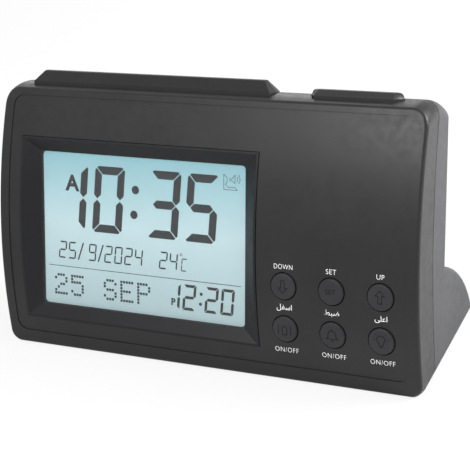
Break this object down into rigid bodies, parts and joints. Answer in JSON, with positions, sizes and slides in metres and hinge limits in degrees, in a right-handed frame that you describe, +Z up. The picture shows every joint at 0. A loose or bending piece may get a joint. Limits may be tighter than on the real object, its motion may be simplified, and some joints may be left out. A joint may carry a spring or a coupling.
{
  "type": "desk clock",
  "caption": "Leaning desk clock with a bowed front, framed digital display, round keys, top snooze bar and light button, and a round battery foot with a sliding door.",
  "frame": {"origin": "on the table under the middle of the clock's outer box", "axes": "+X to the viewer's right along the clock's width, +Y away from the viewer, +Z up"},
  "size_m": [0.1516, 0.0518, 0.0826],
  "materials": {
    "front_plastic": "satin moulded, fine texture",
    "rear_plastic": "satin moulded, fine texture",
    "bezel_plastic": "satin",
    "bar_plastic": "satin",
    "key_plastic": "satin, rubbery",
    "lens_clear": "clear",
    "lcd_glass": "polariser film",
    "guide_acrylic": "frosted",
    "white_plastic": "moulded",
    "board_green": "solder mask",
    "chip_black": "moulded",
    "screw_steel": "zinc plated",
    "magnet_dark": "ferrite",
    "cone_black": "treated paper",
    "cell_wrap": "plain wrapped can",
    "contact_nickel": "nickel plated",
    "soft_rubber": "matt"
  },
  "bodies": {
    "case": {"front_housing": "front_plastic", "rear_housing": "rear_plastic", "display_bezel": "bezel_plastic", "display_lens": "lens_clear", "lcd_panel": "lcd_glass", "light_guide": "guide_acrylic", "lcd_connectors": "soft_rubber", "lcd_carrier": "white_plastic", "backlight_leds": "white_plastic", "main_board": "board_green", "board_chips": "chip_black", "board_screws": "screw_steel", "key_board_screws": "screw_steel", "housing_screws": "screw_steel", "speaker_screws": "screw_steel", "key_mat": "soft_rubber", "key_board": "board_green", "top_board": "board_green", "top_switches": "chip_black", "speaker_basket": "screw_steel", "speaker_magnet": "magnet_dark", "speaker_cone": "cone_black", "speaker_ring": "rear_plastic", "batteries": "cell_wrap", "battery_contacts": "contact_nickel", "battery_spring": "contact_nickel", "foot_pads": "soft_rubber"},
    "down_key": {"down_key": "key_plastic"},
    "set_key": {"set_key": "key_plastic"},
    "up_key": {"up_key": "key_plastic"},
    "azan_key": {"azan_key": "key_plastic"},
    "alarm_key": {"alarm_key": "key_plastic"},
    "lamp_key": {"lamp_key": "key_plastic"},
    "snooze_bar": {"snooze_bar": "bar_plastic"},
    "light_button": {"light_button": "bar_plastic"},
    "battery_door": {"battery_door": "rear_plastic"}
  },
  "joints": [
    {"name": "down_key_press", "type": "slide", "parent": "case", "child": "down_key", "axis": [0, 0.9063, -0.4226], "range_m": [0, 0.0006], "stiffness_N_per_m": 1500, "springref_m": -0.0002},
    {"name": "set_key_press", "type": "slide", "parent": "case", "child": "set_key", "axis": [0, 0.9063, -0.4226], "range_m": [0, 0.0006], "stiffness_N_per_m": 1500, "springref_m": -0.0002},
    {"name": "up_key_press", "type": "slide", "parent": "case", "child": "up_key", "axis": [0, 0.9063, -0.4226], "range_m": [0, 0.0006], "stiffness_N_per_m": 1500, "springref_m": -0.0002},
    {"name": "azan_key_press", "type": "slide", "parent": "case", "child": "azan_key", "axis": [0, 0.9063, -0.4226], "range_m": [0, 0.0006], "stiffness_N_per_m": 1500, "springref_m": -0.0002},
    {"name": "alarm_key_press", "type": "slide", "parent": "case", "child": "alarm_key", "axis": [0, 0.9063, -0.4226], "range_m": [0, 0.0006], "stiffness_N_per_m": 1500, "springref_m": -0.0002},
    {"name": "lamp_key_press", "type": "slide", "parent": "case", "child": "lamp_key", "axis": [0, 0.9063, -0.4226], "range_m": [0, 0.0006], "stiffness_N_per_m": 1500, "springref_m": -0.0002},
    {"name": "snooze_bar_press", "type": "slide", "parent": "case", "child": "snooze_bar", "axis": [0, -0.4226, -0.9063], "range_m": [0, 0.0012], "stiffness_N_per_m": 1200, "springref_m": -0.0005},
    {"name": "light_button_press", "type": "slide", "parent": "case", "child": "light_button", "axis": [0, -0.4226, -0.9063], "range_m": [0, 0.0012], "stiffness_N_per_m": 1000, "springref_m": -0.0005},
    {"name": "battery_door_slide", "type": "slide", "parent": "case", "child": "battery_door", "axis": [0, 1, 0], "range_m": [0, 0.026]}
  ]
}
